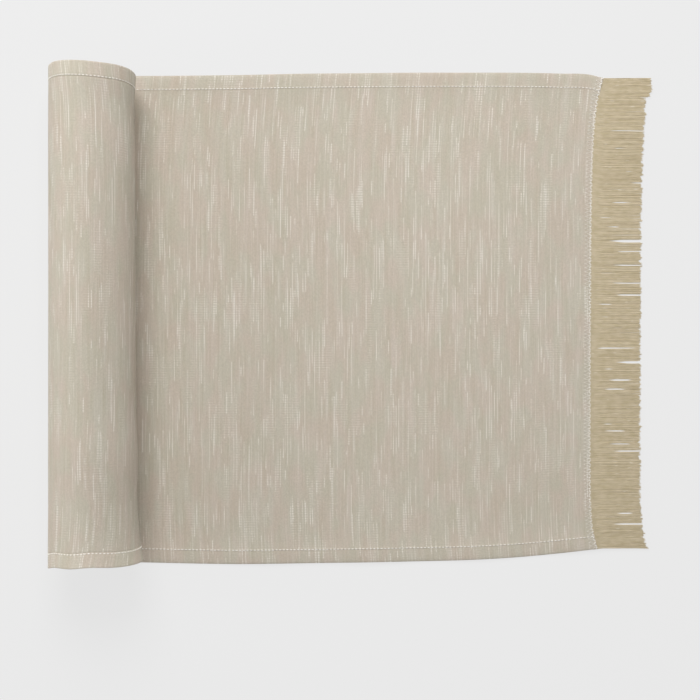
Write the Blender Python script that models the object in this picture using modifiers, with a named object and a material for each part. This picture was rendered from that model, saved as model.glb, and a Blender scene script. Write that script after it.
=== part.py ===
"""A fringed and hemmed table runner, lying on a table with its inner end rolled up.

The runner lies along X: the roll is at -X, and the free end, with its fringe, lies flat towards
+X. The origin is on the table, under the middle of the whole. The roll's outside is the cloth's
underside, so a depth is counted from the table upwards, and from the roll's skin inwards.
"""

import math

import bmesh
import bpy

TAU = 2 * math.pi

# Driving dimensions, in metres
RUNNER_LENGTH = 1.829        # unrolled, both fringes included
RUNNER_WIDTH = 0.356
FLAT_LENGTH = 0.369          # from where the roll touches the table to the end of the cloth
FRINGE_LENGTH = 0.036
HEM_WIDTH = 0.011
CLOTH_THICKNESS = 0.00038
HEM_LAYERS = 3               # the edge is turned under twice
THREAD_THICKNESS = 0.0002
YARN_THICKNESS = 0.0006
SEAM_INSET = 0.001           # from a hem's inner edge to its line of stitches
END_SEAM_WIDTH = 0.005       # the zigzag that stops the cloth fraying into fringe
CORE_RADIUS = 0.005          # open middle of the roll
FOLD_OFFSET = 0.006          # from the roll's side to the line that the free length folds on
TUFT_COUNT = 24
TUFT_TAPER = 0.0004          # how much narrower each side of a tuft is at its tip

# Clearances
LAYER_GAP = 0.0002           # between cloth and thread, and between one turn and the next
EDGE_GAP = 0.0003            # between neighbours that lie side by side
SWING_GAP = 0.00015          # left while a piece turns about its fold

# Facets of the roll, the same in every turn, so that neighbouring turns stay parallel
SEGMENTS_PER_TURN = 16
SEGMENT_ANGLE = TAU / SEGMENTS_PER_TURN
FACET_COSINE = math.cos(SEGMENT_ANGLE / 2)

# Depths of the layers, from the table up
HEM_THICKNESS = HEM_LAYERS * CLOTH_THICKNESS
RAISED_DEPTH = THREAD_THICKNESS + LAYER_GAP
NEEDLE_DEPTH = RAISED_DEPTH + HEM_THICKNESS + LAYER_GAP
STACK_DEPTH = NEEDLE_DEPTH + THREAD_THICKNESS
END_NEEDLE_DEPTH = RAISED_DEPTH + CLOTH_THICKNESS + LAYER_GAP

# The roll: a spiral whose turns are one stack of layers apart
TURN_PITCH = (STACK_DEPTH + LAYER_GAP) / FACET_COSINE
ROLLED_LENGTH = RUNNER_LENGTH - FLAT_LENGTH - FRINGE_LENGTH
ROLL_RADIUS = math.sqrt(CORE_RADIUS ** 2 + ROLLED_LENGTH * TURN_PITCH / math.pi)
ROLL_REACH = ROLL_RADIUS - TURN_PITCH / 4
ROLL_AXIS_X = (ROLL_REACH - FLAT_LENGTH - FRINGE_LENGTH) / 2

# Places across the runner
HEM_INNER = RUNNER_WIDTH / 2 - HEM_WIDTH
CLOTH_HALF_WIDTH = HEM_INNER - EDGE_GAP
HEM_SEAM_SIDES = (HEM_INNER + SEAM_INSET - THREAD_THICKNESS / 2,
                  HEM_INNER + SEAM_INSET + THREAD_THICKNESS / 2)

# Places along the runner, counted from where the roll touches the table, the flat side positive
FOLD = ROLL_RADIUS + FOLD_OFFSET
FOLD_REACH = STACK_DEPTH / 2
STUB_END = FOLD - FOLD_REACH - SWING_GAP
HEM_LEAD = math.sqrt(FOLD_REACH ** 2 - (HEM_THICKNESS / 2) ** 2)
FRINGE_FOLD = FLAT_LENGTH
CLOTH_END = FRINGE_FOLD - YARN_THICKNESS / 2 - SWING_GAP
TUFT_START = FRINGE_FOLD + YARN_THICKNESS / 2
INNER_CLOTH_END = FRINGE_LENGTH - ROLLED_LENGTH
INNER_YARN_START = INNER_CLOTH_END - EDGE_GAP
INNER_YARN_END = -ROLLED_LENGTH
END_RISE = 0.004             # length over which the cloth climbs onto its end seam

# Heights of the two lines that the cloth folds on
FOLD_HEIGHT = STACK_DEPTH / 2
FRINGE_FOLD_HEIGHT = YARN_THICKNESS / 2

CLOTH_COLOUR = (0.558, 0.491, 0.402)
FRINGE_COLOUR = (0.491, 0.413, 0.262)
THREAD_COLOUR = (0.831, 0.776, 0.686)


def make_material(name, colour, roughness):
    """Plain woven finish."""
    material = bpy.data.materials.new(name)
    material.use_nodes = True
    shader = material.node_tree.nodes["Principled BSDF"]
    shader.inputs["Base Color"].default_value = (*colour, 1.0)
    shader.inputs["Roughness"].default_value = roughness
    shader.inputs["Metallic"].default_value = 0.0
    return material


def angle_wound(length):
    """Angle that a length of cloth turns through, from where the roll touches the table."""
    inside = ROLL_RADIUS ** 2 - TURN_PITCH * length / math.pi
    return TAU / TURN_PITCH * (ROLL_RADIUS - math.sqrt(inside))


def length_wound(angle):
    """Length of cloth that turns through an angle; the other way round from angle_wound."""
    return ROLL_RADIUS * angle - TURN_PITCH * angle ** 2 / (2 * TAU)


def place_along(distance, depth):
    """X and Z of a point of the runner's length, at a depth above its underside."""
    if distance >= 0:
        return ROLL_AXIS_X + distance, depth
    angle = angle_wound(-distance)
    radius = ROLL_RADIUS - TURN_PITCH * angle / TAU - depth / FACET_COSINE
    return ROLL_AXIS_X - radius * math.sin(angle), ROLL_RADIUS - radius * math.cos(angle)


def stations_between(outer, inner):
    """Places where a strip bends, from its outer end to its inner end."""
    stations = {outer, inner}
    if inner < 0 < outer:
        stations.add(0.0)
    if inner < 0:
        turns = int(angle_wound(-inner) / SEGMENT_ANGLE)
        corners = (-length_wound(step * SEGMENT_ANGLE) for step in range(1, turns + 1))
        stations.update(corner for corner in corners if inner < corner < outer)
    return sorted(stations, reverse=True)


def add_to_runner(name, mesh, material, hinge=None):
    """Object for one piece; a piece that moves hangs on the empty on its fold line."""
    mesh.materials.append(material)
    piece = bpy.data.objects.new(name, mesh)
    runner_collection.objects.link(piece)
    if hinge is not None:
        piece.parent = hinge
        piece.location = (-hinge["axis_x"], 0, -hinge["axis_z"])
    return piece


def make_strip(name, outer, inner, sides, depth, thickness, material, hinge=None, ends_raised=()):
    """Ribbon along the runner: its lower face, drawn out across the width, then thickened."""
    bends = stations_between(outer, inner)
    raised = [(end, end + END_SEAM_WIDTH * side, end + (END_SEAM_WIDTH + END_RISE) * side)
              for end, side in ends_raised]
    for end, top, foot in raised:
        bends = sorted(set(bends) | {top, foot}, reverse=True)

    def depth_at(distance):
        for end, top, foot in raised:
            if min(end, top) <= distance <= max(end, top):
                return RAISED_DEPTH
            if min(top, foot) < distance < max(top, foot):
                return RAISED_DEPTH * (distance - foot) / (top - foot)
        return depth

    shape = bmesh.new()
    near, far = sides
    line = []
    for distance in bends:
        x, z = place_along(distance, depth_at(distance))
        line.append(shape.verts.new((x, near, z)))
    edges = [shape.edges.new(pair) for pair in zip(line, line[1:])]
    drawn = bmesh.ops.extrude_edge_only(shape, edges=edges)
    moved = [item for item in drawn["geom"] if isinstance(item, bmesh.types.BMVert)]
    bmesh.ops.translate(shape, vec=(0, far - near, 0), verts=moved)
    bmesh.ops.reverse_faces(shape, faces=list(shape.faces))
    mesh = bpy.data.meshes.new(name)
    shape.to_mesh(mesh)
    shape.free()
    mesh.shade_smooth()

    piece = add_to_runner(name, mesh, material, hinge)
    thicken = piece.modifiers.new("Thickness", "SOLIDIFY")
    thicken.thickness = thickness
    thicken.offset = -1
    thicken.use_even_offset = True
    return piece


def make_block(name, low, high, taper, material, hinge):
    """Box between two corners, drawn in by the taper on both sides at its +X end."""
    shape = bmesh.new()
    bmesh.ops.create_cube(shape, size=1)
    size = [high[axis] - low[axis] for axis in range(3)]
    for corner in shape.verts:
        at_tip = corner.co.x > 0
        side = 1 if corner.co.y > 0 else -1
        corner.co = [low[axis] + size[axis] * (corner.co[axis] + 0.5) for axis in range(3)]
        if at_tip:
            corner.co.y -= side * taper
    mesh = bpy.data.meshes.new(name)
    shape.to_mesh(mesh)
    shape.free()
    return add_to_runner(name, mesh, material, hinge)


def make_hinge(name, distance, height, parent=None):
    """Empty on a fold line, which runs across the runner."""
    hinge = bpy.data.objects.new(name, None)
    runner_collection.objects.link(hinge)
    axis_x = ROLL_AXIS_X + distance
    hinge["axis_x"] = axis_x
    hinge["axis_z"] = height
    hinge.location = (axis_x, 0, height)
    if parent is not None:
        hinge.parent = parent
        hinge.location = (axis_x - parent["axis_x"], 0, height - parent["axis_z"])
    return hinge


def mirrored(sides):
    """The same places on the other edge of the runner."""
    return -sides[1], -sides[0]


def make_edges(prefix, outer, inner, hem_inner, hinge=None):
    """Hem, needle thread and bobbin thread along both edges of one stretch of the runner."""
    for edge, turn in (("front", mirrored), ("back", tuple)):
        hem_sides = turn((HEM_INNER, RUNNER_WIDTH / 2))
        seam_sides = turn(HEM_SEAM_SIDES)
        make_strip(f"{prefix}_hem_{edge}", outer, hem_inner, hem_sides,
                   RAISED_DEPTH, HEM_THICKNESS, cloth, hinge)
        make_strip(f"{prefix}_needle_thread_{edge}", outer, inner, seam_sides,
                   NEEDLE_DEPTH, THREAD_THICKNESS, thread, hinge)
        make_strip(f"{prefix}_bobbin_thread_{edge}", outer, inner, seam_sides,
                   0.0, THREAD_THICKNESS, thread, hinge)


def make_end_seam(prefix, outer, inner, hinge=None):
    """Zigzag across one end of the cloth, as a band of thread above it and one below."""
    sides = (-CLOTH_HALF_WIDTH, CLOTH_HALF_WIDTH)
    make_strip(f"{prefix}_end_needle_thread", outer, inner, sides,
               END_NEEDLE_DEPTH, THREAD_THICKNESS, thread, hinge)
    make_strip(f"{prefix}_end_bobbin_thread", outer, inner, sides,
               0.0, THREAD_THICKNESS, thread, hinge)


def make_rolled_length():
    """The roll, with the short stub of flat cloth that runs out from under it."""
    make_strip("rolled_cloth", STUB_END, INNER_CLOTH_END, (-CLOTH_HALF_WIDTH, CLOTH_HALF_WIDTH),
               0.0, CLOTH_THICKNESS, cloth, ends_raised=((INNER_CLOTH_END, 1),))
    make_edges("rolled", STUB_END, INNER_CLOTH_END, INNER_CLOTH_END)
    make_end_seam("inner", INNER_CLOTH_END + END_SEAM_WIDTH, INNER_CLOTH_END)
    make_strip("inner_fringe", INNER_YARN_START, INNER_YARN_END,
               (-RUNNER_WIDTH / 2, RUNNER_WIDTH / 2), RAISED_DEPTH, YARN_THICKNESS, yarn)


def make_free_length(hinge):
    """The flat cloth beside the roll, which can be lifted off the table."""
    make_strip("flat_cloth", CLOTH_END, FOLD, (-CLOTH_HALF_WIDTH, CLOTH_HALF_WIDTH),
               0.0, CLOTH_THICKNESS, cloth, hinge, ends_raised=((CLOTH_END, -1),))
    make_edges("flat", CLOTH_END, FOLD, FOLD - HEM_LEAD, hinge)
    make_end_seam("outer", CLOTH_END, CLOTH_END - END_SEAM_WIDTH, hinge)


def make_outer_fringe(hinge):
    """Tufts of loose warp yarn, side by side across the end of the cloth."""
    tuft_pitch = RUNNER_WIDTH / TUFT_COUNT
    root_x = ROLL_AXIS_X + TUFT_START
    tip_x = ROLL_AXIS_X + FLAT_LENGTH + FRINGE_LENGTH
    for number in range(TUFT_COUNT):
        near = -RUNNER_WIDTH / 2 + number * tuft_pitch
        low = (root_x, near + EDGE_GAP / 2, 0.0)
        high = (tip_x, near + tuft_pitch - EDGE_GAP / 2, YARN_THICKNESS)
        make_block(f"fringe_tuft_{number + 1:02d}", low, high, TUFT_TAPER, yarn, hinge)


for old in list(bpy.data.objects):
    bpy.data.objects.remove(old)
runner_collection = bpy.data.collections.new("table_runner")
bpy.context.scene.collection.children.link(runner_collection)

cloth = make_material("slub_chambray", CLOTH_COLOUR, 0.9)
thread = make_material("cream_sewing_thread", THREAD_COLOUR, 0.7)
yarn = make_material("tan_fringe_yarn", FRINGE_COLOUR, 0.85)

free_length_hinge = make_hinge("free_length_hinge", FOLD, FOLD_HEIGHT)
fringe_hinge = make_hinge("fringe_hinge", FRINGE_FOLD, FRINGE_FOLD_HEIGHT, free_length_hinge)

make_rolled_length()
make_free_length(free_length_hinge)
make_outer_fringe(fringe_hinge)
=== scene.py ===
"""A fringed table runner of slub chambray: one end rolled up, the other laid out flat.

Everything sewn or woven is first set out flat, as on a cutting table: X is the distance along the
cloth from where the roll touches the table (the flat side positive), Y the distance across it and Z
the depth above its underside. lay_on_runner() then winds and lays all of it in the same way.
"""

import math

import bpy
import numpy as np
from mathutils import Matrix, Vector


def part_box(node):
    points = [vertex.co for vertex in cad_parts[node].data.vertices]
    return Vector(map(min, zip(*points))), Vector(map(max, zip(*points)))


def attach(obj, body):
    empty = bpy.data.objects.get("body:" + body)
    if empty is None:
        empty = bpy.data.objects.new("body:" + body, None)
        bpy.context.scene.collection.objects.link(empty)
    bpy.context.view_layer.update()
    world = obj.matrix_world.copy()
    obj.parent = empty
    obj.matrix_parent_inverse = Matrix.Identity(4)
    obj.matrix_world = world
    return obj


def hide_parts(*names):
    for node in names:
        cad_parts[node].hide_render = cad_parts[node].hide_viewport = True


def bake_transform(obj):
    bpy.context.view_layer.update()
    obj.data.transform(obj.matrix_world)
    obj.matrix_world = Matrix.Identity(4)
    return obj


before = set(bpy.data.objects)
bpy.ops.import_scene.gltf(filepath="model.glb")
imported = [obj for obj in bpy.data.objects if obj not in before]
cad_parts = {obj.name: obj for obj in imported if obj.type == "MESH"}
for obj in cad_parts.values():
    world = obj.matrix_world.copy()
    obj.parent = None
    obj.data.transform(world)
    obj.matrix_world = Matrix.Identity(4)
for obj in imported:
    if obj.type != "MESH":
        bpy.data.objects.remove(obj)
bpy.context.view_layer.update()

MM = 0.001

# ---------------------------------------------------------------- sizes, in metres, from the frame

roll_low, roll_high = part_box("rolled_cloth")
hem_low, hem_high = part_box("flat_hem_back")
seam_low, seam_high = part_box("flat_needle_thread_back")

TURN_PITCH = 2.182 * MM         # from one turn of the roll to the next
CORE_RADIUS = 5.0 * MM
ROLL_RADIUS = (roll_high[2] + TURN_PITCH / 2) / 2
AXIS_X = roll_low[0] + ROLL_RADIUS - TURN_PITCH / 4
HALF_WIDTH = hem_high[1]
HEM_WIDTH = hem_high[1] - hem_low[1]
SEAM_Y = (seam_low[1] + seam_high[1]) / 2
CLOTH_END = hem_high[0] - AXIS_X
FRINGE_LENGTH = 36.0 * MM
ROLLED_LENGTH = math.pi * (ROLL_RADIUS ** 2 - CORE_RADIUS ** 2) / TURN_PITCH
INNER_CLOTH_END = FRINGE_LENGTH - ROLLED_LENGTH
SPARE_LENGTH = 20 * MM          # lets the innermost turn end just short of the core

CLOTH_THICKNESS = 0.30 * MM     # pressed, as it lies
LAYER_GAP = 0.01 * MM           # between the layers of a hem
LYING_UNDERSIDE = 0.20 * MM     # of the turned edge, above the cloth's underside
WOUND_UNDERSIDE = 0.02 * MM
HEM_REACH = 26 * MM             # how far from the edge the hem holds the cloth up
ROLL_MARGIN = 20 * MM           # to each side of the contact, where wound cloth becomes lying cloth

# Hem rows: depths are where the cloth lies, and less where it is wound
HEM_PITCH = 2.65 * MM
HEM_STITCH = 1.30 * MM
HEM_THREAD = 0.64 * MM
HEM_ROWS = {"needle": (1.10 * MM, 0.22 * MM), "bobbin": (0.30 * MM, -0.05 * MM)}   # depth, arch
WOUND_DROP = 0.20 * MM
ROW_INSET = 2 * MM              # from a cloth end to the first stitch

# Rows across a cloth end: pitch, distance from the end, stitch length, slant, thread width
ZIGZAG_PERIOD = 2.86 * MM
END_ROWS = {"lock": (2.10 * MM, 0.80 * MM, 1.75 * MM, 0.86, 0.62 * MM),
            "wide": (ZIGZAG_PERIOD / 2, 3.0 * MM, 4.27 * MM, 1.215, 0.18 * MM)}
END_ARCH = {"needle": 0.16 * MM, "bobbin": -0.06 * MM}

ROOT_INSET = 0.8 * MM           # how far the fringe's yarns start inside the cloth's end
OUTER_YARNS = 2000
INNER_YARNS = 1000
YARN_WIDTH = 0.50 * MM
YARN_PILE = 0.40 * MM           # how far the yarns lie on top of each other
LOCK_WIDTH = 14 * MM            # of the straighter lock of fringe at the back edge
YARN_FLOOR = 0.27 * MM          # height of the lowest yarns' middle above the table

# Outline of the flat part and of the outer turn, in millimetres: distance along the cloth, then
# its edge's distance from the middle line. Behind zero the cloth is on the roll.
BACK_EDGE = [(370, 176.4), (361, 178.7), (339, 179.6), (300, 180.2), (222, 180.2), (148, 179.4),
             (90, 178.4), (30, 178.0), (0, 178.0), (-50, 180.2), (-74, 182.0), (-92, 181.3),
             (-108, 179.9), (-121, 178.8), (-130, 177.5), (-139, 175.7), (-148, 174.2),
             (-165, 173.8), (-210, 174.2)]
FRONT_EDGE = [(370, 168.0), (361, 168.9), (339, 171.4), (310, 174.2), (280, 176.0), (222, 177.6),
              (148, 178.8), (104, 179.4), (30, 178.2), (0, 178.0), (-50, 178.4), (-60, 178.2),
              (-72, 176.6), (-90, 176.6), (-104, 175.3), (-121, 175.6), (-129, 175.3),
              (-140, 174.5), (-150, 173.5), (-165, 173.6), (-210, 173.6)]

# Slits in the outer fringe: distance from the middle line in millimetres, where each starts and
# ends as a share of the yarns' length, and width in millimetres; past 1 it is open at the tips
OPEN = 1.3
SLITS = [(163.5, 0.90, OPEN, 0.5), (139, 0.28, OPEN, 1.0), (126, 0.38, 0.70, 0.9),
         (119, 0.60, 0.88, 0.5), (109, 0.62, 0.90, 0.5), (100.5, 0.76, OPEN, 1.1),
         (96, 0.78, 1.0, 0.7), (86, 0.40, 0.80, 0.9), (75, 0.16, 0.46, 0.8), (68, 0.30, 0.62, 1.1),
         (57.7, 0.33, OPEN, 2.4), (50, 0.50, OPEN, 0.8), (40, 0.42, OPEN, 1.1),
         (34, 0.12, 0.60, 0.5), (26.6, 0.40, OPEN, 1.0), (17.8, 0.48, OPEN, 1.2),
         (11, 0.12, 0.50, 0.9), (-8, 0.70, 0.95, 0.4), (-22.5, 0.10, 0.97, 1.2),
         (-33.4, 0.50, OPEN, 2.1), (-38.8, 0.24, 0.54, 1.1), (-47.3, 0.32, 0.90, 1.4),
         (-54.3, 0.24, 0.80, 1.1), (-81.5, 0.22, 0.48, 0.9), (-86.9, 0.28, 0.78, 1.1),
         (-97, 0.32, 0.86, 0.9), (-102.4, 0.42, OPEN, 1.3), (-125.7, 0.66, 0.88, 0.7),
         (-150.5, 0.46, 0.90, 1.2), (-159, 0.36, OPEN, 1.6)]


def smooth_line(x, points):
    """Smooth curve through a few (x, y) points, level beyond its ends."""
    known_x, known_y = np.array(sorted(points), float).T
    slope = np.gradient(known_y, known_x)
    left = np.clip(np.searchsorted(known_x, x) - 1, 0, len(known_x) - 2)
    span = known_x[left + 1] - known_x[left]
    t = np.clip((x - known_x[left]) / span, 0, 1)
    rise = known_y[left + 1] - known_y[left]
    start = slope[left] * span
    end = slope[left + 1] * span
    return known_y[left] + t * start + t ** 2 * (3 * rise - 2 * start - end) \
        + t ** 3 * (start + end - 2 * rise)


def weft_bow(across):
    """How far the weft is bowed along the runner: it lags in the middle, and leads at the edges."""
    from_back = HALF_WIDTH - across
    from_front = HALF_WIDTH + across
    lean = 0.7 * MM * (across / HALF_WIDTH)
    back_corner = 8.4 * MM * np.exp(-from_back / (28 * MM))
    front_corner = 5.6 * MM * np.exp(-from_front / (16 * MM))
    middle = -7.0 * MM
    return back_corner + front_corner + lean + middle


def weft_line(across):
    """How far a weft yarn leans along the runner, near the two selvedges only."""
    back_start, front_start = 85 * MM, 130 * MM
    back = np.clip((across - back_start) / (HALF_WIDTH - back_start), 0, 1)
    front = np.clip((-across - front_start) / (HALF_WIDTH - front_start), 0, 1)
    return 4.6 * MM * back ** 2 + 1.5 * MM * front ** 2


def roll_swell(across):
    """How much fatter the roll is than its mean radius: it flares at its front end."""
    flare = 2.6 * MM * np.exp(-(HALF_WIDTH + across) / (20 * MM))
    bump = 0.7 * MM * np.exp(-((across + 100 * MM) / (20 * MM)) ** 2)
    dent = 0.6 * MM * np.exp(-((across - 150 * MM) / (16 * MM)) ** 2)
    return flare + bump - dent - 0.3 * MM * (across / HALF_WIDTH)


def roll_bulge(sideways, across):
    """How far the roll's weight pushes its flat side outwards, at a distance from its axis."""
    towards_ends = np.abs(across) / HALF_WIDTH
    most = (1.1 + 0.8 * towards_ends ** 4) * MM
    return most * np.clip(sideways / ROLL_RADIUS, 0, 2) ** 1.5


def flat_wave(along, across):
    """Low waves of the flat cloth, none of them below the table."""
    first, full = 45 * MM, 145 * MM
    from_roll = np.clip((along - first) / (full - first), 0, 1)
    edge = np.clip(np.abs(across) / HALF_WIDTH, 0, 1) ** 6
    crests = np.sin(along / (34 * MM) + 5 * across) * np.sin(across / (47 * MM) + 1.3)
    broad = 0.35 * MM * (1 + crests)
    along_edge = 0.45 * MM * edge * (1 + np.sin(along / (12.5 * MM) + 2 * np.sign(across)))
    return from_roll * (broad + along_edge)


def edge_wander(along):
    """Uneven winding of the inner turns, to either side."""
    outer_turn, fully_inside = 160 * MM, 240 * MM
    inside = np.clip((-along - outer_turn) / (fully_inside - outer_turn), 0, 1)
    slow = 0.4 * MM * np.sin(along / (41 * MM))
    quick = 0.3 * MM * np.sin(along / (17.3 * MM) + 1.0)
    return inside * (slow + quick)


def place(along, across, depth):
    """X, Y and Z in the frame of a point that is set out flat."""
    along = along + weft_bow(across)
    radius = ROLL_RADIUS + roll_swell(across)
    shift = radius - ROLL_RADIUS
    length = np.clip(shift - along, 0, ROLLED_LENGTH + SPARE_LENGTH)
    pitch = math.pi * (radius ** 2 - CORE_RADIUS ** 2) / (ROLLED_LENGTH + SPARE_LENGTH)
    angle = 2 * math.pi / pitch * (radius - np.sqrt(radius ** 2 - pitch * length / math.pi))
    reach = radius - pitch * angle / (2 * math.pi) - depth
    wound = along < shift
    sideways = -reach * np.sin(angle)
    sideways = sideways + roll_bulge(sideways, across)
    x = np.where(wound, AXIS_X + shift + sideways, AXIS_X + along)
    z = np.where(wound, radius - reach * np.cos(angle), depth + flat_wave(along, across))
    back = smooth_line(along / MM, BACK_EDGE) * MM
    front = smooth_line(along / MM, FRONT_EDGE) * MM
    spread = np.where(across > 0, back, front) / HALF_WIDTH
    y = across * spread + edge_wander(along)
    return np.stack(np.broadcast_arrays(x, y, z), axis=-1)


def points_of(mesh):
    """The mesh's points as rows of X, Y and Z."""
    points = np.empty(len(mesh.vertices) * 3)
    mesh.vertices.foreach_get("co", points)
    return points.reshape(-1, 3)


def lay_on_runner(mesh):
    """Winds and lays a mesh that was set out flat."""
    flat = points_of(mesh)
    laid = place(flat[:, 0], flat[:, 1], flat[:, 2])
    mesh.vertices.foreach_set("co", laid.ravel())
    mesh.update()


# ---------------------------------------------------------------- node helpers

def put(tree, kind, inputs=(), **settings):
    """Adds a node; an input, by name or place, takes a value or another node's output."""
    made = tree.nodes.new(kind)
    for name, value in settings.items():
        setattr(made, name, value)
    for key, value in dict(inputs).items():
        if isinstance(value, bpy.types.NodeSocket):
            tree.links.new(value, made.inputs[key])
        else:
            made.inputs[key].default_value = value
    return made


def calculate(tree, operation, *numbers):
    """Output of a Math node."""
    return put(tree, "ShaderNodeMath", enumerate(numbers), operation=operation).outputs[0]


def combine(tree, x, y, z=0.0):
    """Vector of three numbers."""
    return put(tree, "ShaderNodeCombineXYZ", {"X": x, "Y": y, "Z": z}).outputs[0]


def between(tree, value, low, high, start=0.0, end=1.0):
    """Smooth step of a value between two levels."""
    return put(tree, "ShaderNodeMapRange",
               {"Value": value, "From Min": low, "From Max": high, "To Min": start, "To Max": end},
               interpolation_type="SMOOTHSTEP").outputs[0]


def mix(tree, factor, first, second, blend="MIX"):
    """Mixes two colours."""
    return put(tree, "ShaderNodeMix", {0: factor, 6: first, 7: second},
               data_type="RGBA", blend_type=blend).outputs[2]


def new_group(name, kind, inputs, outputs):
    """Node group with named inputs and outputs; returns it with both of its end nodes."""
    group = bpy.data.node_groups.new(name, kind)
    for title, socket, value in inputs:
        item = group.interface.new_socket(title, in_out="INPUT", socket_type=socket)
        if value is not None:
            item.default_value = value
    for title, socket in outputs:
        group.interface.new_socket(title, in_out="OUTPUT", socket_type=socket)
    return group, group.nodes.new("NodeGroupInput"), group.nodes.new("NodeGroupOutput")


def named(tree, attribute):
    """Reads a point attribute in a geometry tree."""
    return put(tree, "GeometryNodeInputNamedAttribute", {"Name": attribute},
               data_type="FLOAT").outputs["Attribute"]


def random_number(tree, low, high, seed):
    """Random number for each point or instance, between low and high."""
    made = put(tree, "FunctionNodeRandomValue", data_type="FLOAT")
    floats = [socket for socket in made.inputs if socket.type == "VALUE"]
    floats[0].default_value = low
    floats[1].default_value = high
    made.inputs["Seed"].default_value = seed
    return made.outputs[1]


# ---------------------------------------------------------------- geometry trees

def stitch_row_tree():
    """Arched stitches along a line; a slant turns every other one the other way, as in a zigzag."""
    tree, given, result = new_group(
        "Row of stitches", "GeometryNodeTree",
        [("Line", "NodeSocketGeometry", None), ("Pitch", "NodeSocketFloat", HEM_PITCH),
         ("Stitch Length", "NodeSocketFloat", HEM_STITCH),
         ("Thread Width", "NodeSocketFloat", HEM_THREAD),
         ("Arch", "NodeSocketFloat", 0.2 * MM), ("Slant", "NodeSocketFloat", 0.0),
         ("Thread", "NodeSocketMaterial", None)],
        [("Stitches", "NodeSocketGeometry")])
    give = given.outputs
    line = put(tree, "GeometryNodeMeshToCurve", {"Mesh": give["Line"]}).outputs["Curve"]
    holes = put(tree, "GeometryNodeCurveToPoints", {"Curve": line, "Length": give["Pitch"]},
                mode="LENGTH")

    straight = put(tree, "GeometryNodeCurvePrimitiveLine",
                   {"Start": (-0.5, 0, 0), "End": (0.5, 0, 0)}).outputs["Curve"]
    stitch = put(tree, "GeometryNodeResampleCurve", {"Curve": straight, "Count": 7}).outputs[0]
    place_on_line = put(tree, "GeometryNodeSplineParameter").outputs["Factor"]
    swing = calculate(tree, "SINE", calculate(tree, "MULTIPLY", place_on_line, math.pi))
    x = calculate(tree, "MULTIPLY", calculate(tree, "SUBTRACT", place_on_line, 0.5),
                  give["Stitch Length"])
    height = calculate(tree, "MULTIPLY", give["Arch"],
                       calculate(tree, "POWER", swing, 0.6))
    arched = put(tree, "GeometryNodeSetPosition",
                 {"Geometry": stitch, "Position": combine(tree, x, 0.0, height)}).outputs[0]
    thickness = calculate(tree, "MULTIPLY_ADD", swing, 0.3, 0.7)
    sized = put(tree, "GeometryNodeSetCurveRadius",
                {"Curve": arched, "Radius": thickness}).outputs[0]
    half_thread = calculate(tree, "MULTIPLY", give["Thread Width"], 0.5)
    round_profile = put(tree, "GeometryNodeCurvePrimitiveCircle",
                        {"Resolution": 6, "Radius": half_thread}, mode="RADIUS").outputs["Curve"]
    body = put(tree, "GeometryNodeCurveToMesh",
               {"Curve": sized, "Profile Curve": round_profile, "Fill Caps": True}).outputs[0]

    index = put(tree, "GeometryNodeInputIndex").outputs[0]
    side = calculate(tree, "MULTIPLY_ADD", calculate(tree, "MODULO", index, 2.0), 2.0, -1.0)
    turn = calculate(tree, "ADD", calculate(tree, "MULTIPLY", side, give["Slant"]),
                     random_number(tree, -0.05, 0.05, 3))
    heading = put(tree, "FunctionNodeAlignRotationToVector", {"Vector": holes.outputs["Tangent"]},
                  axis="X").outputs[0]
    to_the_side = put(tree, "FunctionNodeAxisAngleToRotation",
                      {"Axis": (0, 0, 1), "Angle": turn}).outputs[0]
    slanted = put(tree, "FunctionNodeRotateRotation",
                  {"Rotation": heading, "Rotate By": to_the_side},
                  rotation_space="LOCAL").outputs[0]
    size = random_number(tree, 0.93, 1.05, 5)
    sewn = put(tree, "GeometryNodeInstanceOnPoints",
               {"Points": holes.outputs["Points"], "Instance": body, "Rotation": slanted,
                "Scale": combine(tree, size, 1.0, 1.0)}).outputs[0]
    solid = put(tree, "GeometryNodeRealizeInstances", {"Geometry": sewn}).outputs[0]
    smooth = put(tree, "GeometryNodeSetShadeSmooth", {"Geometry": solid}).outputs[0]
    finished = put(tree, "GeometryNodeSetMaterial",
                   {"Geometry": smooth, "Material": give["Thread"]}).outputs[0]
    tree.links.new(finished, result.inputs[0])
    return tree


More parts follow.
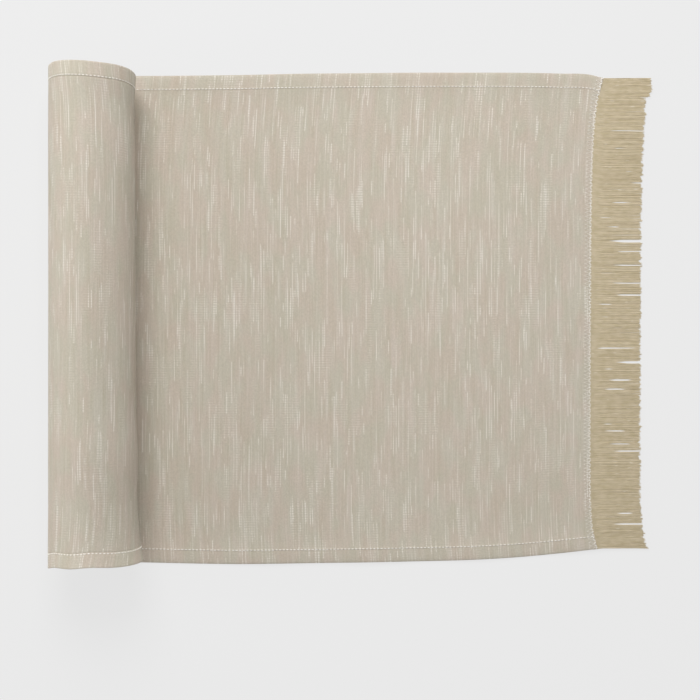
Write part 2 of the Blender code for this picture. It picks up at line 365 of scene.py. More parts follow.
def fringe_tree():
    """Loose yarns from a line of roots towards +X, parted by slits."""
    tree, given, result = new_group(
        "Fringe of yarns", "GeometryNodeTree",
        [("Roots", "NodeSocketGeometry", None), ("Yarn Count", "NodeSocketInt", OUTER_YARNS),
         ("Yarn Length", "NodeSocketFloat", FRINGE_LENGTH),
         ("Yarn Width", "NodeSocketFloat", YARN_WIDTH), ("Pile", "NodeSocketFloat", YARN_PILE),
         ("Slits", "NodeSocketObject", None), ("Yarn", "NodeSocketMaterial", None)],
        [("Fringe", "NodeSocketGeometry")])
    give = given.outputs
    line = put(tree, "GeometryNodeMeshToCurve", {"Mesh": give["Roots"]}).outputs["Curve"]
    roots = put(tree, "GeometryNodeCurveToPoints", {"Curve": line, "Count": give["Yarn Count"]},
                mode="COUNT").outputs["Points"]
    position = put(tree, "GeometryNodeInputPosition").outputs[0]
    across = put(tree, "ShaderNodeSeparateXYZ", {0: position}).outputs["Y"]

    def remember(geometry, name, value):
        return put(tree, "GeometryNodeStoreNamedAttribute",
                   {"Geometry": geometry, "Name": name, "Value": value},
                   data_type="FLOAT", domain="POINT").outputs[0]

    roots = remember(roots, "yarn_root", across)
    roots = remember(roots, "yarn_tone", random_number(tree, 0.0, 1.0, 11))
    roots = remember(roots, "yarn_layer", random_number(tree, 0.0, 1.0, 12))
    roots = remember(roots, "yarn_stray", random_number(tree, -1.0, 1.0, 13))

    straight = put(tree, "GeometryNodeCurvePrimitiveLine",
                   {"Start": (0, 0, 0), "End": (1, 0, 0)}).outputs["Curve"]
    yarn = put(tree, "GeometryNodeResampleCurve", {"Curve": straight, "Count": 9}).outputs[0]
    factor = put(tree, "GeometryNodeSplineParameter").outputs["Factor"]
    yarn = remember(yarn, "yarn_along", factor)

    def unevenness(per_metre, size):
        noise = put(tree, "ShaderNodeTexNoise",
                    {"W": calculate(tree, "MULTIPLY", across, per_metre), "Scale": 1.0,
                     "Detail": 1.0}, noise_dimensions="1D").outputs[0]
        return calculate(tree, "MULTIPLY", calculate(tree, "SUBTRACT", noise, 0.5), size)

    length = calculate(tree, "ADD", random_number(tree, 0.965, 1.015, 14), unevenness(80.0, 0.05))
    length = calculate(tree, "ADD", length, unevenness(340.0, 0.09))
    lock_edge = HALF_WIDTH - LOCK_WIDTH
    in_lock = between(tree, across, lock_edge - 0.5 * MM, lock_edge + 0.5 * MM)
    lock = between(tree, across, lock_edge, HALF_WIDTH, 0.032, -0.018)
    beside_lock = between(tree, across, lock_edge - 20 * MM, lock_edge, 0.0, -0.03)
    extra = put(tree, "ShaderNodeMix", {0: in_lock, 2: beside_lock, 3: lock},
                data_type="FLOAT").outputs[0]
    length = calculate(tree, "ADD", length, extra)
    laid = put(tree, "GeometryNodeInstanceOnPoints",
               {"Points": roots, "Instance": yarn,
                "Scale": combine(tree, calculate(tree, "MULTIPLY", length, give["Yarn Length"]),
                                 1.0, 1.0)}).outputs[0]
    yarns = put(tree, "GeometryNodeRealizeInstances", {"Geometry": laid}).outputs[0]

    along = named(tree, "yarn_along")
    root = named(tree, "yarn_root")
    layer = named(tree, "yarn_layer")
    stray = named(tree, "yarn_stray")
    tone = named(tree, "yarn_tone")

    slits = put(tree, "GeometryNodeObjectInfo", {"Object": give["Slits"]}).outputs["Geometry"]
    nearest = put(tree, "GeometryNodeSampleNearest",
                  {"Geometry": slits, "Sample Position": combine(tree, 0.0, root)}).outputs[0]

    def of_slit(value):
        return put(tree, "GeometryNodeSampleIndex",
                   {"Geometry": slits, "Value": value, "Index": nearest}).outputs[0]

    slit_root = of_slit(across)
    starts, ends, width = (of_slit(named(tree, name)) for name in ("starts", "ends", "width"))
    beside = calculate(tree, "SUBTRACT", root, slit_root)
    gives_way = -2.6 * MM       # how fast the yarns beside a slit come back to their places
    near = calculate(tree, "EXPONENT", calculate(tree, "DIVIDE",
                                                 calculate(tree, "ABSOLUTE", beside), gives_way))
    opening = between(tree, along, starts, calculate(tree, "MULTIPLY_ADD", width, 150.0, starts))
    closing = between(tree, along, calculate(tree, "SUBTRACT", ends, 0.14), ends, 1.0, 0.0)
    parted = calculate(tree, "MULTIPLY", calculate(tree, "MULTIPLY", opening, closing), near)
    parted = calculate(tree, "MULTIPLY", calculate(tree, "MULTIPLY", parted, width), 0.5)
    parted = calculate(tree, "MULTIPLY", parted, calculate(tree, "SIGN", beside))

    def sway(per_metre, across_value, size):
        noise = put(tree, "ShaderNodeTexNoise",
                    {"Vector": combine(tree, calculate(tree, "MULTIPLY", along, 1.1),
                                       calculate(tree, "MULTIPLY", across_value, per_metre)),
                     "Scale": 1.0, "Detail": 0.0}).outputs[0]
        return calculate(tree, "MULTIPLY", calculate(tree, "SUBTRACT", noise, 0.5),
                         calculate(tree, "MULTIPLY", along, size))

    together = sway(45.0, root, 1.2 * MM)
    alone = sway(50.0, tone, 1.1 * MM)
    wild = calculate(tree, "MULTIPLY", calculate(tree, "POWER", stray, 31.0),
                     calculate(tree, "MULTIPLY", calculate(tree, "POWER", along, 1.5), 2.4 * MM))
    drift = calculate(tree, "ADD", calculate(tree, "ADD", together, alone),
                      calculate(tree, "ADD", parted, wild))
    settle = between(tree, along, 0.0, 0.3)
    lift = calculate(tree, "MULTIPLY", calculate(tree, "MULTIPLY", layer, give["Pile"]), settle)
    height = put(tree, "ShaderNodeSeparateXYZ", {0: position}).outputs["Z"]
    drop = calculate(tree, "MULTIPLY", settle, calculate(tree, "SUBTRACT", YARN_FLOOR, height))
    shift = combine(tree, 0.0, drift, calculate(tree, "ADD", lift, drop))
    moved = put(tree, "GeometryNodeSetPosition", {"Geometry": yarns, "Offset": shift}).outputs[0]
    radius = put(tree, "ShaderNodeMapRange",
                 {"Value": tone, "To Min": 0.85, "To Max": 1.15}).outputs[0]
    sized = put(tree, "GeometryNodeSetCurveRadius",
                {"Curve": moved, "Radius": radius}).outputs[0]
    half_yarn = calculate(tree, "MULTIPLY", give["Yarn Width"], 0.5)
    profile = put(tree, "GeometryNodeCurvePrimitiveCircle",
                  {"Resolution": 5, "Radius": half_yarn}, mode="RADIUS").outputs["Curve"]
    profile = remember(profile, "yarn_around", factor)
    body = put(tree, "GeometryNodeCurveToMesh",
               {"Curve": sized, "Profile Curve": profile, "Fill Caps": True}).outputs[0]
    smooth = put(tree, "GeometryNodeSetShadeSmooth", {"Geometry": body}).outputs[0]
    finished = put(tree, "GeometryNodeSetMaterial",
                   {"Geometry": smooth, "Material": give["Yarn"]}).outputs[0]
    tree.links.new(finished, result.inputs[0])
    return tree


def line_of_points(name, points):
    """Mesh of a line of edges, for a geometry tree to work along."""
    mesh = bpy.data.meshes.new(name)
    mesh.from_pydata(points, [(step, step + 1) for step in range(len(points) - 1)], [])
    return mesh


def bent_line(name, along, corners):
    """Line across the runner whose depth changes on the way: (across, depth) corners, in metres."""
    return line_of_points(name, [(along, across, depth) for across, depth in corners])


def across_both_edges(half):
    """A line's corners on the back half, continued onto the front half."""
    return [(-across, depth) for across, depth in reversed(half[1:])] + half


def slit_marks():
    """Points that tell the fringe where its yarns part, how far along and how wide."""
    across, starts, ends, widths = np.array(SLITS).T
    mesh = bpy.data.meshes.new("slit_marks")
    mesh.from_pydata([(0, place_across * MM, 0) for place_across in across], [], [])
    for name, values in (("starts", starts), ("ends", ends), ("width", widths * MM)):
        mesh.attributes.new(name, "FLOAT", "POINT").data.foreach_set("value", values.tolist())
    marks = bpy.data.objects.new("slit_marks", mesh)
    bpy.context.scene.collection.objects.link(marks)
    return marks


def grow(name, line, tree, values, reverse=False):
    """Runs a geometry tree along a line, lays the result on the runner, and keeps a plain mesh."""
    guide = bpy.data.objects.new(name + "_line", line)
    bpy.context.scene.collection.objects.link(guide)
    modifier = guide.modifiers.new("Grow", "NODES")
    modifier.node_group = tree
    for item in tree.interface.items_tree:
        if item.item_type == "SOCKET" and item.in_out == "INPUT" and item.name in values:
            modifier[item.identifier] = values[item.name]
    depsgraph = bpy.context.evaluated_depsgraph_get()
    mesh = bpy.data.meshes.new_from_object(guide.evaluated_get(depsgraph))
    bpy.data.objects.remove(guide)
    mesh.name = name
    if reverse:
        mirror_about(mesh, np.array(line.vertices[0].co)[0])
    lay_on_runner(mesh)
    piece = bpy.data.objects.new(name, mesh)
    bpy.context.scene.collection.objects.link(piece)
    return piece


def mirror_about(mesh, along):
    """Turns a flat mesh end for end about a place along the runner."""
    flat = points_of(mesh)
    flat[:, 0] = 2 * along - flat[:, 0]
    mesh.vertices.foreach_set("co", flat.ravel())
    mesh.flip_normals()


# ---------------------------------------------------------------- the cloth

# How the cloth gets on top of its turned edge, loosely where it lies and tightly where it is wound:
# millimetres from the edge, and share of the rise
LYING_CLIMB = [(23.0, 0.05), (20.0, 0.14), (17.0, 0.28), (15.0, 0.40), (13.4, 0.52), (12.2, 0.64),
               (11.2, 0.74), (10.4, 0.82), (9.6, 0.89), (8.2, 0.97), (4.4, 0.99), (2.8, 0.94),
               (1.6, 0.84), (0.9, 0.70)]
WOUND_CLIMB = [(20.0, 0.0), (14.0, 0.0), (11.6, 0.0), (11.3, 0.01), (11.17, 0.10), (11.14, 0.30),
               (11.08, 0.56), (10.92, 0.84), (10.5, 0.99), (8.2, 1.0), (4.4, 1.0), (2.8, 0.95),
               (1.6, 0.84), (0.9, 0.70)]


def cloth_section(hem_underside, climb):
    """Half of the cloth's cross-section, middle line to raw edge: (across, depth) points.

    The edge is turned under twice, so that three layers lie on each other in the hem.
    """
    middle = [(across, CLOTH_THICKNESS / 2)
              for across in np.linspace(0, HALF_WIDTH - HEM_REACH, 14)]
    strip_depth = hem_underside + CLOTH_THICKNESS / 2
    flap_depth = strip_depth + CLOTH_THICKNESS + LAYER_GAP
    top_depth = flap_depth + CLOTH_THICKNESS + LAYER_GAP
    rise = top_depth - CLOTH_THICKNESS / 2
    top = [(HALF_WIDTH - from_edge * MM, CLOTH_THICKNESS / 2 + share * rise)
           for from_edge, share in climb]
    outer_radius = (CLOTH_THICKNESS / 2 + 0.62 * rise - strip_depth) / 2
    outer_centre = HALF_WIDTH - CLOTH_THICKNESS / 2 - outer_radius
    outer_fold = [(outer_centre + outer_radius * math.cos(angle),
                   strip_depth + outer_radius + outer_radius * math.sin(angle))
                  for angle in np.radians([50, 10, -30, -70])]
    strip = [(HALF_WIDTH - from_edge * MM, strip_depth) for from_edge in (1.2, 4.5, 8.0)]
    inner_radius = (flap_depth - strip_depth) / 2
    inner_centre = HALF_WIDTH - HEM_WIDTH + CLOTH_THICKNESS / 2 + inner_radius
    inner_fold = [(inner_centre - inner_radius * math.cos(angle),
                   strip_depth + inner_radius - inner_radius * math.sin(angle))
                  for angle in np.radians([80, 30, -30, -80])]
    flap = [(HALF_WIDTH - from_edge * MM, flap_depth) for from_edge in (8.0, 5.5, 3.0)]
    return np.array(middle + top + outer_fold + strip + inner_fold + flap)


def cloth_rows():
    """Distances along the runner of the cloth's rows: even angles on the roll, even steps flat."""
    turns = (ROLL_RADIUS - CORE_RADIUS) / TURN_PITCH
    angles = np.arange(0, turns * 2 * math.pi, math.radians(10))
    wound = -(ROLL_RADIUS * angles - TURN_PITCH * angles ** 2 / (4 * math.pi))
    wound = wound[wound > INNER_CLOTH_END + 1 * MM]
    flat = np.linspace(0, CLOTH_END, 100)[1:-1]
    rim = 0.3 * MM
    return np.concatenate([[INNER_CLOTH_END, INNER_CLOTH_END + rim], wound[::-1], flat,
                           [CLOTH_END - rim, CLOTH_END]])


def make_cloth(material):
    """The whole sheet, hems turned, wound up at one end, with the weave's measure as its UV map."""
    lying = cloth_section(LYING_UNDERSIDE, LYING_CLIMB)
    wound = cloth_section(WOUND_UNDERSIDE, WOUND_CLIMB)
    along = cloth_rows()
    is_flat = np.clip((along + ROLL_MARGIN) / (2 * ROLL_MARGIN), 0, 1)[:, None]
    half_across = wound[:, 0] + is_flat * (lying - wound)[:, 0]
    half_depth = wound[:, 1] + is_flat * (lying - wound)[:, 1]
    steps = np.hypot(np.diff(half_across, axis=1), np.diff(half_depth, axis=1))
    measured = np.cumsum(np.pad(steps, ((0, 0), (1, 0))), axis=1)
    woven = np.concatenate([-measured[:, :0:-1], measured], axis=1)
    across = np.concatenate([-half_across[:, :0:-1], half_across], axis=1)
    depth = np.concatenate([half_depth[:, :0:-1], half_depth], axis=1)
    rows, columns = across.shape

    near_end = np.minimum(CLOTH_END - along, along - INNER_CLOTH_END)[:, None]
    lift = 0.35 * MM * np.clip(1 - (near_end - 3 * MM) / (30 * MM), 0, 1) ** 2
    in_hem = np.clip((np.abs(across) - HALF_WIDTH + HEM_REACH) / (HEM_REACH - 10 * MM), 0, 1)
    corners = place(np.broadcast_to(along[:, None], (rows, columns)), across,
                    depth + lift * (1 - in_hem))
    number = np.arange(rows * columns).reshape(rows, columns)
    faces = np.stack([number[:-1, :-1], number[1:, :-1], number[1:, 1:], number[:-1, 1:]], axis=-1)

    mesh = bpy.data.meshes.new("runner_cloth")
    mesh.from_pydata(corners.reshape(-1, 3).tolist(), [], faces.reshape(-1, 4).tolist())
    weave = mesh.uv_layers.new(name="weave")
    corner_vertex = np.empty(len(mesh.loops), dtype=np.int32)
    mesh.loops.foreach_get("vertex_index", corner_vertex)
    yarn_place = along[:, None] + weft_bow(across) - weft_line(across)
    flat_place = np.stack([yarn_place, woven], axis=-1)
    flat_place = flat_place.reshape(-1, 2)
    weave.data.foreach_set("uv", flat_place[corner_vertex].ravel())
    mesh.materials.append(material)
    mesh.shade_smooth()

    draft = bpy.data.objects.new("runner_cloth_draft", mesh)
    bpy.context.scene.collection.objects.link(draft)
    thicken = draft.modifiers.new("Thickness", "SOLIDIFY")
    thicken.thickness = CLOTH_THICKNESS
    thicken.offset = 0
    thicken.use_even_offset = True
    thicken.use_quality_normals = True
    depsgraph = bpy.context.evaluated_depsgraph_get()
    finished = bpy.data.meshes.new_from_object(draft.evaluated_get(depsgraph))
    bpy.data.objects.remove(draft)
    finished.name = "runner_cloth"
    # Marks the cloth's face side; the material paints shade on the other side, the roll's outside
    face_side = np.arange(len(finished.vertices)) < rows * columns
    finished.attributes.new("face_side", "FLOAT", "POINT").data.foreach_set("value", face_side)
    piece = bpy.data.objects.new("runner_cloth", finished)
    bpy.context.scene.collection.objects.link(piece)
    return piece


# ---------------------------------------------------------------- materials

def streak_noise(tree, weave, along_size, across_size, seed, detail=1.0):
    """Noise drawn out across the runner, as an uneven weft draws it."""
    scaled = put(tree, "ShaderNodeMapping",
                 {"Vector": weave, "Location": (seed * 17.3, seed * 5.1, seed * 9.7),
                  "Scale": (1 / along_size, 1 / across_size, 1.0)}, vector_type="POINT").outputs[0]
    return put(tree, "ShaderNodeTexNoise",
               {"Vector": scaled, "Scale": 1.0, "Detail": detail, "Roughness": 0.5}).outputs[0]


def slub_lanes(tree, weft_way, across_way, lane_width, slub_length, share, where, seed):
    """Thick places of separate weft yarns: straight lines of one width, 0 to 1."""
    lane = calculate(tree, "DIVIDE", weft_way, lane_width)
    number = calculate(tree, "FLOOR", lane)
    own_place = put(tree, "ShaderNodeTexWhiteNoise", {"W": calculate(tree, "ADD", number, seed)},
                    noise_dimensions="1D").outputs["Value"]
    middle = calculate(tree, "MULTIPLY_ADD", own_place, 0.5, 0.25)
    inside = calculate(tree, "ABSOLUTE", calculate(tree, "SUBTRACT",
                                                   calculate(tree, "FRACT", lane), middle))
    across_lane = between(tree, inside, 0.13, 0.25, 1.0, 0.0)
    own_line = combine(tree, calculate(tree, "MULTIPLY_ADD", number, 7.31, seed),
                       calculate(tree, "DIVIDE", across_way, slub_length))
    thick = put(tree, "ShaderNodeTexNoise",
                {"Vector": own_line, "Scale": 1.0, "Detail": 1.0, "Roughness": 0.4},
                noise_dimensions="2D").outputs[0]
    crowding = 0.16
    crowded = calculate(tree, "MULTIPLY_ADD", where, crowding, thick)
    level = 0.5 + crowding / 2 + (0.5 - share) * 0.36
    slub = between(tree, crowded, level, level + 0.05)
    return calculate(tree, "MULTIPLY", slub, across_lane)


def slub_weave_group():
    """Plain weave with an uneven, thick-and-thin weft: colour and height from a place in it."""
    tree, given, result = new_group(
        "Slub weave", "ShaderNodeTree",
        [("Weave", "NodeSocketVector", None),
         ("Warp Colour", "NodeSocketColor", (0.5, 0.43, 0.34, 1)),
         ("Weft Colour", "NodeSocketColor", (0.62, 0.57, 0.48, 1)),
         ("Slub Colour", "NodeSocketColor", (0.75, 0.70, 0.62, 1)),
         ("Yarn Spacing", "NodeSocketFloat", 0.45 * MM), ("Slub Amount", "NodeSocketFloat", 1.0)],
        [("Color", "NodeSocketColor"), ("Height", "NodeSocketFloat")])
    give = given.outputs
    weave = give["Weave"]
    spacing = give["Yarn Spacing"]

    wander = put(tree, "ShaderNodeTexNoise", {"Vector": weave, "Scale": 28.0, "Detail": 1.0},
                 noise_dimensions="2D").outputs["Color"]
    nudge = put(tree, "ShaderNodeVectorMath", {0: wander, 1: (0.5, 0.5, 0.5)}, operation="SUBTRACT")
    nudge = put(tree, "ShaderNodeVectorMath", {0: nudge.outputs[0], "Scale": 0.5 * MM},
                operation="SCALE")
    uneven = put(tree, "ShaderNodeVectorMath", {0: weave, 1: nudge.outputs[0]}, operation="ADD")
    parts = put(tree, "ShaderNodeSeparateXYZ", {0: uneven.outputs[0]})
    weft_way, across_way = parts.outputs["X"], parts.outputs["Y"]
    turns = calculate(tree, "DIVIDE", math.pi, spacing)
    over_weft = calculate(tree, "SINE", calculate(tree, "MULTIPLY", weft_way, turns))
    over_warp = calculate(tree, "SINE", calculate(tree, "MULTIPLY", across_way, turns))
    crossing = calculate(tree, "MULTIPLY", over_weft, over_warp)

    yarn_number = calculate(tree, "FLOOR", calculate(tree, "DIVIDE", weft_way, spacing))
    own_yarn = combine(tree, calculate(tree, "MULTIPLY", yarn_number, 5.17),
                       calculate(tree, "DIVIDE", across_way, 42 * MM))
    each = put(tree, "ShaderNodeTexNoise", {"Vector": own_yarn, "Scale": 1.0, "Detail": 1.0},
               noise_dimensions="2D").outputs[0]
    broad = streak_noise(tree, weave, 6 * MM, 46 * MM, 4, 1.0)
    patch = streak_noise(tree, weave, 10 * MM, 22 * MM, 5, 1.0)
    cover = calculate(tree, "MULTIPLY_ADD", calculate(tree, "SUBTRACT", broad, 0.5), 0.55, crossing)
    cover = calculate(tree, "MULTIPLY_ADD", calculate(tree, "SUBTRACT", each, 0.5), 1.15, cover)
    weft_on_top = between(tree, cover, -0.55, 0.55)

    cluster = streak_noise(tree, weave, 7 * MM, 40 * MM, 3, 1.5)
    where = between(tree, cluster, 0.32, 0.68)
    lane_width = calculate(tree, "MULTIPLY", spacing, 4.0)
    short = slub_lanes(tree, weft_way, across_way, lane_width, 26 * MM, 0.24, where, 3.7)
    long = slub_lanes(tree, weft_way, across_way, lane_width, 60 * MM, 0.24, where, 91.3)
    slub = calculate(tree, "MAXIMUM", short, calculate(tree, "MULTIPLY", long, 0.75))
    strength = between(tree, streak_noise(tree, weave, 1.7 * MM, 24 * MM, 8, 1.0),
                       0.36, 0.64, 0.26, 1.0)
    slub = calculate(tree, "MULTIPLY", slub,
                     calculate(tree, "MULTIPLY", strength, give["Slub Amount"]))

    ground = mix(tree, weft_on_top, give["Warp Colour"], give["Weft Colour"])
    pinkish = mix(tree, 1.0, ground, (1.025, 0.990, 0.985, 1), "MULTIPLY")
    greenish = mix(tree, 1.0, ground, (0.985, 1.010, 0.985, 1), "MULTIPLY")
    ground = mix(tree, between(tree, patch, 0.32, 0.68), greenish, pinkish)
    coarse = calculate(tree, "SINE", calculate(tree, "MULTIPLY", across_way,
                                               calculate(tree, "MULTIPLY", turns, 0.5)))
    rungs = calculate(tree, "MULTIPLY_ADD", coarse, 0.42, 0.62)
    shown = calculate(tree, "MULTIPLY", slub, rungs)
    ladder = calculate(tree, "MULTIPLY", between(tree, cluster, 0.52, 0.66),
                       between(tree, coarse, -0.4, 1.0, 0.0, 0.17))
    shown = calculate(tree, "MAXIMUM", shown, ladder)
    colour = mix(tree, shown, ground, give["Slub Colour"])
    grain = between(tree, streak_noise(tree, weave, 1.0 * MM, 0.9 * MM, 9, 1.0),
                    0.25, 0.75, 0.945, 1.055)
    colour = mix(tree, 1.0, colour, combine(tree, grain, grain, grain), "MULTIPLY")
    relief = calculate(tree, "ABSOLUTE", crossing)
    height = calculate(tree, "MULTIPLY_ADD", slub, 0.6, relief)
    tree.links.new(colour, result.inputs["Color"])
    tree.links.new(height, result.inputs["Height"])
    return tree


def twist_group():
    """Plied thread: slanting grooves from a place along and around it."""
    tree, given, result = new_group(
        "Twisted thread", "ShaderNodeTree",
        [("Along", "NodeSocketFloat", 0.0), ("Around", "NodeSocketFloat", 0.0),
         ("Turns", "NodeSocketFloat", 12.0)],
        [("Groove", "NodeSocketFloat")])
    give = given.outputs
    wound = calculate(tree, "MULTIPLY_ADD", give["Along"], give["Turns"], give["Around"])
    groove = calculate(tree, "ABSOLUTE",
                       calculate(tree, "SINE", calculate(tree, "MULTIPLY", wound, math.pi)))
    tree.links.new(groove, result.inputs["Groove"])
    return tree


def new_material(name, roughness, sheen):
    """Material with its shader, whose plain numbers are set on the shader itself."""
    material = bpy.data.materials.new(name)
    material.use_nodes = True
    tree = material.node_tree
    shader = tree.nodes["Principled BSDF"]
    shader.inputs["Roughness"].default_value = roughness
    shader.inputs["Specular IOR Level"].default_value = 0.25
    shader.inputs["Sheen Weight"].default_value = sheen
    shader.inputs["Sheen Roughness"].default_value = 0.5
    return material, tree, shader


def chambray_material():
    """Slub chambray: tan warp, paler weft with white slubs; its wrong side, which shows on the
    roll's outside, is painted a little darker as painted shade, so the roll reads darker than the
    flat cloth.
    """
    material, tree, shader = new_material("slub_chambray", 0.92, 0.05)
    weave = put(tree, "ShaderNodeUVMap", uv_map="weave").outputs[0]
    group = put(tree, "ShaderNodeGroup", node_tree=slub_weave_group())
    tree.links.new(weave, group.inputs["Weave"])
    group.inputs["Warp Colour"].default_value = (0.474, 0.418, 0.318, 1)
    group.inputs["Weft Colour"].default_value = (0.628, 0.573, 0.510, 1)
    group.inputs["Slub Colour"].default_value = (0.815, 0.775, 0.705, 1)
    face_side = put(tree, "ShaderNodeAttribute", attribute_name="face_side",
                    attribute_type="GEOMETRY").outputs["Fac"]
    # Painted shade: the wrong side (face_side 0), the roll's outside, is darkened to 94%, standing
    # in for the difference in light between the roll and the flat cloth
    wrong_side_painted_shade = mix(tree, face_side, (0.940, 0.940, 0.938, 1), (1, 1, 1, 1))
    colour = mix(tree, 1.0, group.outputs["Color"], wrong_side_painted_shade, "MULTIPLY")
    tree.links.new(colour, shader.inputs["Base Color"])
    bump = put(tree, "ShaderNodeBump",
               {"Strength": 0.4, "Distance": 0.12 * MM, "Height": group.outputs["Height"]})
    tree.links.new(bump.outputs[0], shader.inputs["Normal"])
    return material


def thread_material():
    """Cream sewing thread."""
    material, tree, shader = new_material("cream_sewing_thread", 0.6, 0.1)
    place_node = put(tree, "ShaderNodeTexCoord").outputs["Object"]
    fibre = put(tree, "ShaderNodeTexNoise",
                {"Vector": place_node, "Scale": 1800.0, "Detail": 2.0}).outputs[0]
    colour = mix(tree, between(tree, fibre, 0.3, 0.7),
                 (0.90, 0.865, 0.79, 1), (0.97, 0.955, 0.91, 1))
    tree.links.new(colour, shader.inputs["Base Color"])
    bump = put(tree, "ShaderNodeBump", {"Strength": 0.4, "Distance": 0.05 * MM, "Height": fibre})
    tree.links.new(bump.outputs[0], shader.inputs["Normal"])
    return material


def yarn_material():
    """Loose tan warp yarn, a little different from one yarn to the next, with pale flecks and
    painted shade in the grooves of its twist.
    """
    material, tree, shader = new_material("tan_fringe_yarn", 0.75, 0.1)
    read = {name: put(tree, "ShaderNodeAttribute", attribute_name=name,
                      attribute_type="GEOMETRY").outputs["Fac"]
            for name in ("yarn_tone", "yarn_along", "yarn_around", "yarn_root")}
    group = put(tree, "ShaderNodeGroup", node_tree=twist_group())
    group.inputs["Turns"].default_value = 46.0
    tree.links.new(read["yarn_along"], group.inputs["Along"])
    tree.links.new(read["yarn_around"], group.inputs["Around"])

    def patches(across_size, share_size, seed):
        place_in_fringe = combine(tree, calculate(tree, "DIVIDE", read["yarn_root"], across_size),
                                  calculate(tree, "DIVIDE", read["yarn_along"], share_size), seed)
        return put(tree, "ShaderNodeTexNoise",
                   {"Vector": place_in_fringe, "Scale": 1.0, "Detail": 1.0}).outputs[0]

    tone = calculate(tree, "MULTIPLY_ADD", patches(2.6 * MM, 0.16, 2.0), 0.9,
                     calculate(tree, "MULTIPLY", read["yarn_tone"], 0.22))
    base = mix(tree, between(tree, tone, 0.25, 0.90), (0.545, 0.460, 0.298, 1),
               (0.655, 0.560, 0.405, 1))
    fleck = between(tree, patches(1.1 * MM, 0.22, 7.0), 0.70, 0.76)
    base = mix(tree, calculate(tree, "MULTIPLY", fleck, 0.5), base, (0.86, 0.80, 0.70, 1))
    # Painted shade: the grooves of the twist are darkened a little towards a dark brown
    groove_painted_shade = mix(tree, between(tree, group.outputs["Groove"], 0.0, 0.6),
                 mix(tree, 0.10, base, (0.25, 0.20, 0.11, 1)), base)
    tree.links.new(groove_painted_shade, shader.inputs["Base Color"])
    bump = put(tree, "ShaderNodeBump",
               {"Strength": 0.3, "Distance": 0.06 * MM, "Height": group.outputs["Groove"]})
    tree.links.new(bump.outputs[0], shader.inputs["Normal"])
    return material


# ---------------------------------------------------------------- stage, light and camera

VIEW_WIDTH = 0.51275      # width of table that the camera takes in
VIEW_CENTRE_X = 0.1850    # from the roll's axis
VIEW_CENTRE_Y = -0.0227
CAMERA_HEIGHT = 1.53
FLOOR_GLOW = 0.713
FLOOR_REACH = 30.0
FLOOR_LEVEL = -0.3 * MM
SURROUNDING_LIGHT = 0.40
# Soft lights: place, width and power
LIGHTS = {"back": ((-0.21, 1.08, 1.22), 1.0, 21.6),
          "left": ((-1.6, 0.0, 0.42), 0.7, 6.2)}


def make_camera():
    """Straight above the runner, with the roll on the left."""
    data = bpy.data.cameras.new("camera")
    data.sensor_width = 36
    data.lens = data.sensor_width * CAMERA_HEIGHT / VIEW_WIDTH
    camera = bpy.data.objects.new("camera", data)
    camera.location = (AXIS_X + VIEW_CENTRE_X, VIEW_CENTRE_Y, CAMERA_HEIGHT)
    bpy.context.scene.collection.objects.link(camera)
    bpy.context.scene.camera = camera


def make_light(name, location, size, energy):
    """Square soft light, turned to face the runner."""
    data = bpy.data.lights.new(name, "AREA")
    data.shape = "SQUARE"
    data.size = size
    data.energy = energy
    light = bpy.data.objects.new(name, data)
    light.location = location
    light.rotation_mode = "QUATERNION"
    light.rotation_quaternion = (-Vector(location)).to_track_quat("-Z", "Y")
    bpy.context.scene.collection.objects.link(light)


def make_stage():
    """Plain pale floor, soft surrounding light, and soft lights from the back and the left."""
    mesh = bpy.data.meshes.new("floor")
    corners = [(x * FLOOR_REACH, y * FLOOR_REACH, FLOOR_LEVEL)
               for x, y in ((-1, -1), (1, -1), (1, 1), (-1, 1))]
    mesh.from_pydata(corners, [], [(0, 1, 2, 3)])
    floor = bpy.data.objects.new("floor", mesh)
    bpy.context.scene.collection.objects.link(floor)
    material = bpy.data.materials.new("pale_floor")
    material.use_nodes = True
    shader = material.node_tree.nodes["Principled BSDF"]
    shader.inputs["Base Color"].default_value = (0.12, 0.12, 0.12, 1)
    shader.inputs["Roughness"].default_value = 1.0
    shader.inputs["Specular IOR Level"].default_value = 0.0
    shader.inputs["Emission Color"].default_value = (1, 1, 1, 1)
    shader.inputs["Emission Strength"].default_value = FLOOR_GLOW
    mesh.materials.append(material)

    world = bpy.data.worlds.new("surroundings")
    world.use_nodes = True
    background = world.node_tree.nodes["Background"]
    background.inputs["Color"].default_value = (1, 1, 1, 1)
    background.inputs["Strength"].default_value = SURROUNDING_LIGHT
    bpy.context.scene.world = world
    for name, (location, size, energy) in LIGHTS.items():
        make_light(name, location, size, energy)


# ---------------------------------------------------------------- assembly


def hem_line(side, depth):
    """Line of a hem row from the inner cloth end to the outer one, in metres."""
    return line_of_points("hem_row", [
        (INNER_CLOTH_END + ROW_INSET, side * SEAM_Y, depth - WOUND_DROP),
        (-ROLL_MARGIN, side * SEAM_Y, depth - WOUND_DROP), (ROLL_MARGIN, side * SEAM_Y, depth),
        (CLOTH_END - ROW_INSET, side * SEAM_Y, depth)])


def sew(name, line, pitch, length, width, arch, slant):
    """A row of stitches along a line."""
    return grow(name, line, stitch_row,
                {"Pitch": pitch, "Stitch Length": length, "Thread Width": width, "Arch": arch,
                 "Slant": slant, "Thread": thread})


def grow_fringe(name, cloth_end, inward, count):
    """Loose yarns from just inside a cloth end."""
    roots = bent_line("roots", cloth_end + inward * ROOT_INSET, across_both_edges(ROOTS))
    return grow(name, roots, fringe,
                {"Yarn Count": count, "Yarn Length": FRINGE_LENGTH + ROOT_INSET,
                 "Slits": slits, "Yarn": yarn}, reverse=inward > 0)


bpy.context.scene.view_settings.view_transform = "Standard"
make_camera()
make_stage()

chambray = chambray_material()
thread = thread_material()
yarn = yarn_material()
stitch_row = stitch_row_tree()
fringe = fringe_tree()

cloth = make_cloth(chambray)

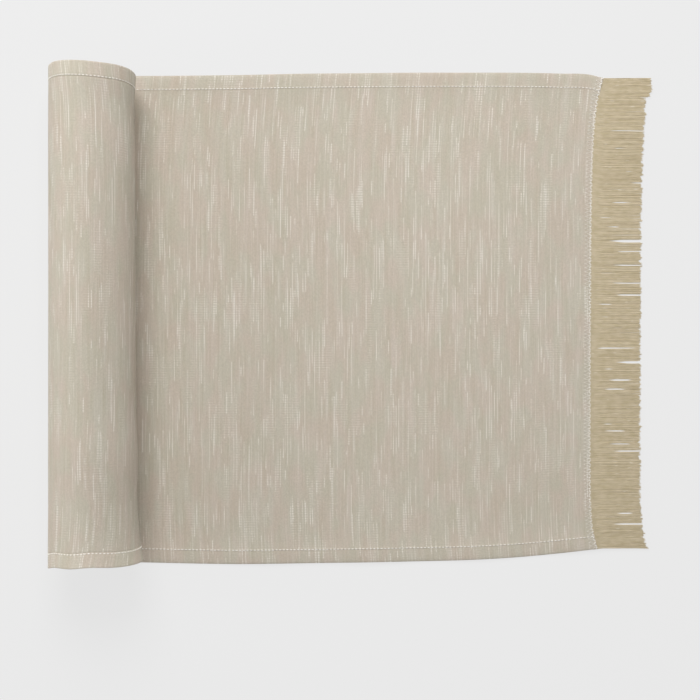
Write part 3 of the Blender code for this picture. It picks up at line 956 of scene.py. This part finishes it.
for edge, side in (("front", -1), ("back", 1)):
    for kind, (depth, arch) in HEM_ROWS.items():
        made = sew(f"hem_{kind}_stitches_{edge}", hem_line(side, depth), HEM_PITCH, HEM_STITCH,
                   HEM_THREAD, arch, 0.0)
        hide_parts(f"flat_{kind}_thread_{edge}", f"rolled_{kind}_thread_{edge}")
        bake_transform(made)

# Depths across a cloth end, level in the middle: of the stitches over and under the hems, and of
# the fringe's roots
OVER = [(0.0, 0.68 * MM), (HALF_WIDTH - 20 * MM, 0.68 * MM), (HALF_WIDTH - 14 * MM, 0.88 * MM),
        (HALF_WIDTH - 10 * MM, 1.08 * MM), (HALF_WIDTH - 7 * MM, 1.14 * MM),
        (HALF_WIDTH - 0.9 * MM, 1.08 * MM)]
UNDER = [(0.0, 0.34 * MM), (HALF_WIDTH - 14 * MM, 0.34 * MM), (HALF_WIDTH - 10.5 * MM, 0.28 * MM),
         (HALF_WIDTH - 0.9 * MM, 0.28 * MM)]
ROOTS = [(0.0, 0.50 * MM), (HALF_WIDTH - 18 * MM, 0.50 * MM), (HALF_WIDTH - 10 * MM, 0.72 * MM),
         (HALF_WIDTH - 0.4 * MM, 0.66 * MM)]

for end, body, cloth_end, inward in (("inner", "rolled_length", INNER_CLOTH_END, 1),
                                     ("outer", "free_length", CLOTH_END, -1)):
    for kind, half in (("needle", OVER), ("bobbin", UNDER)):
        for row, (pitch, inset, length, slant, width) in END_ROWS.items():
            line = bent_line("end_row", cloth_end + inward * inset, across_both_edges(half))
            made = sew(f"{end}_end_{kind}_{row}_stitches", line, pitch, length, width,
                       END_ARCH[kind], slant)
            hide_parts(f"{end}_end_{kind}_thread")
            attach(made, body)

slits = slit_marks()
outer_fringe = grow_fringe("outer_fringe_yarns", CLOTH_END, -1, OUTER_YARNS)
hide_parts(*(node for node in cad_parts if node.startswith("fringe_tuft_")))
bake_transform(outer_fringe)
inner_fringe = grow_fringe("inner_fringe_yarns", INNER_CLOTH_END, 1, INNER_YARNS)
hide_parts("inner_fringe")
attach(inner_fringe, "rolled_length")
bpy.data.objects.remove(slits)

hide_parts("rolled_cloth", "flat_cloth", "rolled_hem_front", "rolled_hem_back",
            "flat_hem_front", "flat_hem_back")
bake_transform(cloth)
